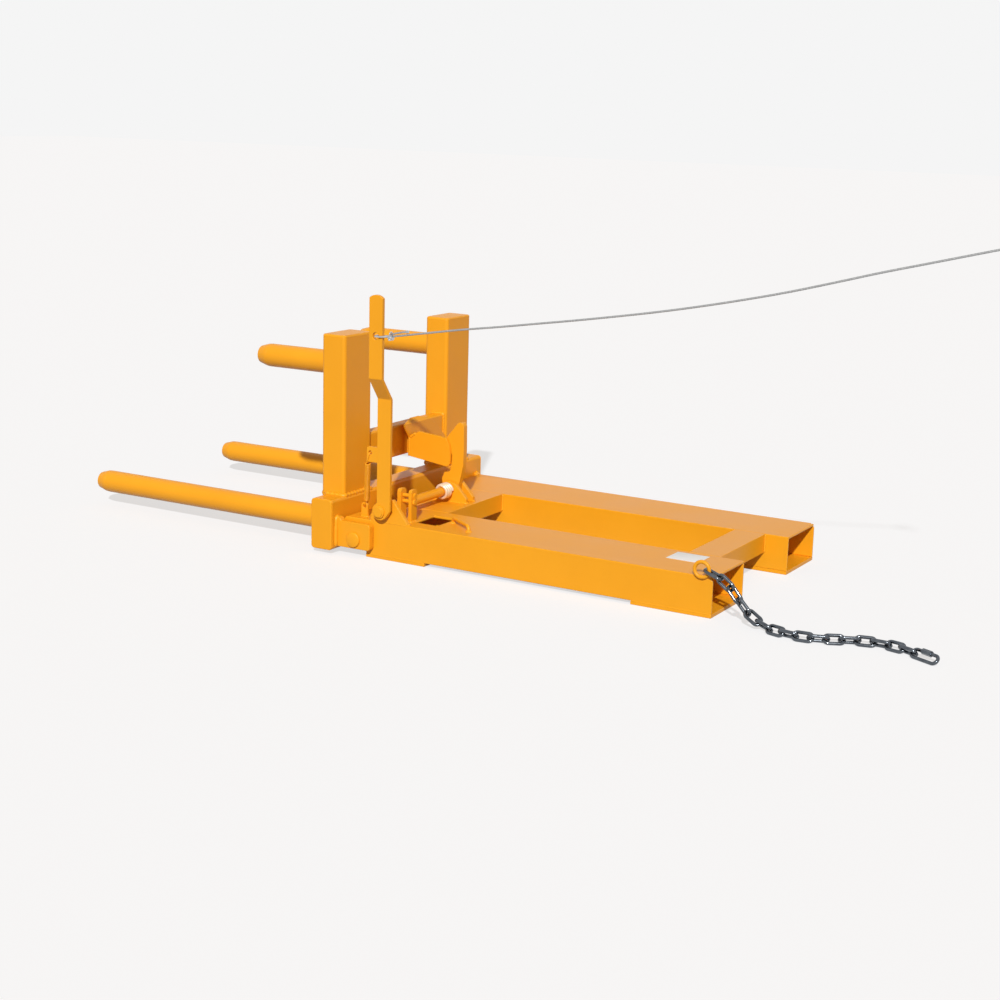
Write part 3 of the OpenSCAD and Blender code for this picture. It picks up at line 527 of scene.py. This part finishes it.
_, (cheek_near_y, cheek_far_y), _ = edges_of("catch_cheeks")
cheek_foot_z = plate_foot_z + 0.002
weld_bead("catch_welds", "tilt_frame", [
    [(plate_front_x, cheek_near_y, cheek_foot_z), (plate_front_x, cheek_near_y, near_cut_z)],
    [(plate_front_x, cheek_far_y, cheek_foot_z), (plate_front_x, cheek_far_y, far_cut_z + 0.001)],
], 0.0030, pitch=0.006)
weld_bead("cheek_corner_weld", "tilt_frame", [
    [(-0.045, -0.0185, 0.254), (-0.028, -0.0185, 0.2665)],
], 0.0042, pitch=0.008)
weld_bead("plate_foot_weld", "tilt_frame", [
    [(bar_face_x, y, web_foot_z - 0.001), (bar_face_x, y, web_top_z - bite)] for y in (web_near_y, web_far_y)
], 0.0030, pitch=0.006)


def top_run(*places):
    # A run over the sleeves' top, along the foot of a piece that stands on it.
    return [(x, y, sleeve_top) for x, y in places]


(lug_front, lug_back), (lug_out, lug_in), _ = edges_of("near_shaft_lug")
weld_bead("shaft_lug_weld", "fork_frame", [
    top_run((lug_front, lug_in), (lug_back, lug_in), (lug_back, lug_out + 0.002)),
], 0.0036)
(hook_lug_front, hook_lug_back), hook_lug_sides, _ = edges_of("hook_lugs")
weld_bead("hook_lug_welds", "fork_frame", [
    top_run((hook_lug_front, y), (hook_lug_back, y), (hook_lug_back, inner_y))
    for y, inner_y in zip(hook_lug_sides, (-0.012, 0.012))
], 0.0034)
(stop_front, stop_back), (stop_near, stop_far), _ = edges_of("stop_posts")
weld_bead("stop_post_welds", "fork_frame", [
    top_run((front, stop_near), (back, stop_near), (back, stop_far), (front, stop_far), (front, stop_near))
    for front, back in ((stop_front, 0.1025), (0.125, stop_back))
], 0.0028, pitch=0.006)
(foot_front, foot_back), (foot_near, foot_far), _ = edges_of("spring_anchor")
weld_bead("spring_anchor_weld", "fork_frame", [
    top_run((foot_front, foot_near), (foot_back, foot_near), (foot_back, foot_far), (foot_front, foot_far),
            (foot_front, foot_near)),
], 0.0024, pitch=0.006)
weld_bead("staple_welds", "fork_frame", [
    ring_run((x, y, sleeve_top), 0.005, "Z", 16) for x, y in ((0.222, -0.226), (0.302, -0.282))
], 0.0032, pitch=0.004)
weld_bead("chain_ring_weld", "fork_frame", [
    [(0.936, -0.3255, sleeve_top - 0.001), (0.960, -0.3255, sleeve_top - 0.001)],
], 0.0045, pitch=0.007)
front_sides, _, (member_low, member_top) = edges_of("front_cross_member")
rear_sides, _, _ = edges_of("rear_cross_member")
member_seams = [[(x, sleeve_in, member_low + 0.001), (x, sleeve_in, member_top - 0.002)]
                for x in front_sides + rear_sides]
weld_bead("cross_member_welds", "fork_frame", both_sides(*member_seams), 0.0032)

# The seams along the straps and the shaft lug are ground nearly flush with the sleeve's side.
seam_y = -0.3222
strap_seams = [[(start, seam_y, sleeve_low), (end, seam_y, sleeve_low)]
               for start, end in ((0.026, 0.198), (0.772, 0.973))]
lug_seam = [(0.040, seam_y, sleeve_top), (0.146, seam_y, sleeve_top)]
weld_bead(
    "ground_seams", "fork_frame", both_sides(*strap_seams) + [lug_seam], 0.0023, pitch=0.020, uneven=0.02,
)
(_, tab_x), (_, tab_y), (tab_low, tab_top) = edges_of("spring_tab")
weld_bead("spring_tab_weld", "latch", [
    [(tab_x, tab_y, tab_low + 0.001), (tab_x, tab_y, tab_top - 0.001)],
], 0.0022, pitch=0.006)

# Return spring
# A close wound extension spring of 3.2 mm wire, painted in place with the frame.
# Its long hooks pass through the anchor on the sleeve and the tab on the lever.

spring_wire = 0.0032
spring_coil_r = 0.0075 - spring_wire / 2
spring_top = Vector((0.048, -0.340, 0.275))
spring_low = Vector((0.002, -0.296, 0.124))
lean = atan2(spring_top.x - spring_low.x, spring_top.z - spring_low.z)
spring_up = Vector((sin(lean), 0, cos(lean)))
hook_r = 0.0066
low_leg, top_leg = 0.017, 0.030


def bent_wire(name, points, wire_d):
    return swept(name, [[(place, 1.0) for place in points]], wire_d / 2, 3)


def spring_hook(leg):
    # The hook's outline: an open leg, the bend through the hole, and the leg that turns into the coil.
    bend = [(hook_r * sin(radians(a)), hook_r * (1 - cos(radians(a)))) for a in range(-90, 91, 12)]
    return [(-hook_r, leg - 0.006)] + bend + [(hook_r, leg - 0.005), (hook_r * 0.9, leg - 0.001)]


coil_low = spring_low + low_leg * spring_up
coil_top = spring_top - top_leg * spring_up
coil_rise = coil_top - coil_low
along = coil_rise.normalized()
side = (Vector((0, 1, 0)) - along.y * along).normalized()
other = along.cross(side)
turn_steps = 20
steps = turn_steps * int(coil_rise.length / (1.12 * spring_wire))
coil = []
for k in range(steps + 1):
    a = 2 * pi * k / turn_steps
    coil.append(coil_low + coil_rise * k / steps + spring_coil_r * (cos(a) * side + sin(a) * other))
low_hook = [spring_low + Vector((0, y, 0)) + z * spring_up for y, z in spring_hook(low_leg)]
top_hook = [spring_top + Vector((0, y, 0)) - z * spring_up for y, z in spring_hook(top_leg)]
return_spring = bent_wire("return_spring_coil", low_hook + coil + top_hook[::-1], spring_wire)
return_spring.data.materials.append(enamel)
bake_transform(return_spring)
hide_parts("return_spring")

# Torsion spring
# Three and a quarter turns of pale zinc plated 8 mm wire, wound round the latch shaft.
# It sits loose on the shaft beside the hook's near lug.

# Yellowish zinc over hard drawn wire with a waxy shine. Its near white cream tones are partly the zinc's own
# and partly a painted highlight that stands in for glare on the coil.
pale_wire_painted_glare = mottled_metal(
    "pale zinc plated spring wire", "E2CDAE", "F6EBDC",
    spot_mm=8.3, detail=3.0, metallic=0.35, roughness=0.33,
)
shaft_x, shaft_z = 0.078, 0.128
coil_start_y = -0.0275
coil_wire, coil_r, coil_pitch, coil_turns = 0.008, 0.017, 0.0094, 3.25
turn_steps = 40
torsion_points = []
for k in range(int(coil_turns * turn_steps) + 1):
    a = 2 * pi * k / turn_steps
    torsion_points.append((
        shaft_x + coil_r * cos(a), coil_start_y - coil_pitch * k / turn_steps, shaft_z + coil_r * sin(a),
    ))
torsion_spring = bent_wire("torsion_spring_coil", torsion_points, coil_wire)
settle(torsion_spring, "fork_frame", pale_wire_painted_glare)
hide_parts("hook_spring")

# Turned steel
# The catch pin and the nuts on the tilt pins are bare mild steel, left unpainted.
# The catch pin is held between the two cheeks, and the nuts press on the tilt pins' washers.

# Bare mild steel off the lathe: a grey sheen with slight oil staining.
turned_steel = mottled_metal(
    "bare turned steel", "8F8C86", "BDBBB6", spot_mm=16.7, detail=4.0, metallic=1.0, roughness=0.32,
)
finish_nodes({"pin_nuts": 0.0008, "catch_pin": 0.0006}, turned_steel)

# Safety chain
# Welded long links of 8 mm wire, zinc plated, laid over the floor beside the sleeve.
# Its last link is longer and has a screw sleeve.

# Barrel plated zinc with a hard bright shine on the wire's crown. Both tones that drift in spots are
# darkened as a painted reflection of dark surroundings.
zinc_chain_painted_dark = mottled_metal(
    "zinc chain with painted dark reflection", "3A3F46", "74797F", spot_mm=11.1, detail=4.0, metallic=1.0, roughness=0.19,
)
finish_nodes({"safety_chain": 0, "chain_end_hook": 0}, zinc_chain_painted_dark)

# Rope fittings
# A bright eye of 5 mm wire passes through the lever's hole and into a small clamp.
# The clamp's block, two bolts with nuts and a bow grip the rope and its dead end.

# Bright electroplated zinc: a hard, slightly blue shine that has dulled in patches.
zinc = mottled_metal(
    "bright zinc plate", "9AA0A6", "D9DCDE", spot_mm=11.1, detail=4.0, metallic=1.0, roughness=0.25,
)
hole_x, hole_z = 0.089, 0.573
eye_side = [(0.128, 0.002, 0.002), (0.114, 0.0070, 0.001), (0.100, 0.0090, 0.0), (0.090, 0.0075, 0.0)]
eye_knots = [(x, rope_y - out, hole_z + up) for x, out, up in eye_side]
eye_knots.append((hole_x - 0.003, rope_y, hole_z))
eye_knots += [(x, rope_y + out, hole_z + up) for x, out, up in reversed(eye_side)]
rope_eye = bent_wire("rope_eye_wire", smooth_route(eye_knots, 0.0015), 0.005)
settle(rope_eye, "latch", zinc)
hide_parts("rope_eye")


def rounded_block(name, centre, size, round_r):
    bpy.ops.object.select_all(action="DESELECT")
    bpy.ops.mesh.primitive_cube_add(size=1, location=centre)
    piece = bpy.context.active_object
    piece.name = name
    piece.scale = size
    bpy.ops.object.transform_apply(location=True, rotation=True, scale=True)
    bpy.ops.object.mode_set(mode="EDIT")
    bpy.ops.mesh.select_all(action="SELECT")
    bpy.ops.mesh.bevel(offset=round_r, segments=3, affect="EDGES")
    bpy.ops.object.mode_set(mode="OBJECT")
    pick(piece)
    bpy.ops.object.shade_smooth_by_angle(angle=radians(40))
    return piece


clamp_x = 0.1305
clamp_saddle = rounded_block("rope_clip_saddle", (clamp_x, rope_y, 0.5735), (0.011, 0.016, 0.0075), 0.0016)
settle(clamp_saddle, "latch", zinc)
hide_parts("rope_clip")

bolt_d, bolt_reach, bolt_low, bolt_top = 0.0036, 0.0055, 0.5655, 0.5835
nut_r, nut_z = 0.0044, 0.5680
for index, y in enumerate((rope_y - bolt_reach, rope_y + bolt_reach)):
    bolt = bent_wire(f"rope_clip_bolt{index}", [(clamp_x, y, bolt_low), (clamp_x, y, bolt_top)], bolt_d)
    settle(bolt, "latch", zinc)
    bpy.ops.object.select_all(action="DESELECT")
    bpy.ops.mesh.primitive_cylinder_add(vertices=6, radius=nut_r, depth=0.0038, location=(clamp_x, y, nut_z))
    nut = bpy.context.active_object
    nut.name = f"rope_clip_nut{index}"
    bpy.ops.object.transform_apply(location=True, rotation=True, scale=True)
    ease_edges(nut, 0.0005)
    settle(nut, "latch", zinc)

bow_foot_z, bow_rise = 0.5815, 0.0045
bow = bent_wire("rope_clip_bow", [
    (clamp_x, rope_y - bolt_reach * cos(radians(a)), bow_foot_z + bow_rise * sin(radians(a)))
    for a in range(0, 181, 15)
], bolt_d)
settle(bow, "latch", zinc)
ferrule = bent_wire("rope_dead_end_ferrule", [(0.174, rope_y, 0.5899), (0.181, rope_y, 0.5909)], 0.0068)
settle(ferrule, "latch", zinc)

# Label
# A bare label of white vinyl film, left blank.
# It is stuck on the near sleeve's top, close to its open end.


def white_film():
    # Vinyl label film: flat white with a soft sheen.
    material, tree = new_material("white vinyl film")
    shader = put(tree, "ShaderNodeBsdfPrincipled", {
        "Base Color": linear("EEF1F4"), "Roughness": 0.4, "IOR": 1.5,
    })
    put(tree, "ShaderNodeOutputMaterial", {"Surface": shader.outputs["BSDF"]})
    return material


label = rounded_block("blank_label", (0.8515, -0.190, sleeve_top + 0.0003), (0.083, 0.068, 0.0006), 0.0002)
settle(label, "fork_frame", white_film())

# Studio
# An even pale floor and backdrop, and one hard sun from the lever's side that draws crisp shadows.
# The floor glows only where it is seen or mirrored, so it looks as pale as the backdrop.

backdrop = linear("F5F5F5")
floor_glow = 0.70
floor_tone = (0.343, 0.355, 0.38, 1)
fill_tone, fill_strength = (1.0, 0.80, 0.63, 1), 0.28
sun_from = Vector((0.355, -0.75, 0.555))


def seen_directly(tree):
    # 1 for the rays that show the background itself, in the lens, in a mirror or through glass.
    path = put(tree, "ShaderNodeLightPath")
    mirrored = put(tree, "ShaderNodeMath", {
        0: path.outputs["Is Camera Ray"], 1: path.outputs["Is Glossy Ray"],
    }, operation="MAXIMUM")
    through = put(tree, "ShaderNodeMath", {
        0: mirrored.outputs["Value"], 1: path.outputs["Is Transmission Ray"],
    }, operation="MAXIMUM")
    return through.outputs["Value"]


def studio_floor():
    # Matt painted board that takes the shadows, with a glow that evens it with the backdrop.
    material, tree = new_material("pale studio floor")
    glow_level = put(tree, "ShaderNodeMath", {0: seen_directly(tree), 1: floor_glow}, operation="MULTIPLY")
    glow = put(tree, "ShaderNodeEmission", {"Color": backdrop, "Strength": glow_level.outputs["Value"]})
    matte = put(tree, "ShaderNodeBsdfDiffuse", {"Color": floor_tone})
    both = put(tree, "ShaderNodeAddShader", {0: glow.outputs["Emission"], 1: matte.outputs["BSDF"]})
    put(tree, "ShaderNodeOutputMaterial", {"Surface": both.outputs["Shader"]})
    return material


bpy.ops.object.select_all(action="DESELECT")
bpy.ops.mesh.primitive_plane_add(size=60, location=(0, 0, 0))
floor = bpy.context.active_object
floor.name = "floor"
floor.data.materials.append(studio_floor())

world = bpy.data.worlds.new("studio")
bpy.context.scene.world = world
world.use_nodes = True
world.node_tree.nodes.clear()
fill = put(world.node_tree, "ShaderNodeBackground", {"Color": fill_tone, "Strength": fill_strength})
shown = put(world.node_tree, "ShaderNodeBackground", {"Color": backdrop, "Strength": 1.0})
chosen = put(world.node_tree, "ShaderNodeMixShader", {
    0: seen_directly(world.node_tree), 1: fill.outputs["Background"], 2: shown.outputs["Background"],
})
put(world.node_tree, "ShaderNodeOutputWorld", {"Surface": chosen.outputs["Shader"]})

sun_data = bpy.data.lights.new("sun", "SUN")
sun_data.energy = 3.2
sun_data.color = (1.0, 0.985, 0.95)
sun_data.angle = radians(1.5)
sun = bpy.data.objects.new("sun", sun_data)
bpy.context.scene.collection.objects.link(sun)
sun.rotation_euler = sun_from.to_track_quat("Z", "Y").to_euler()

bpy.context.scene.view_settings.view_transform = "Standard"
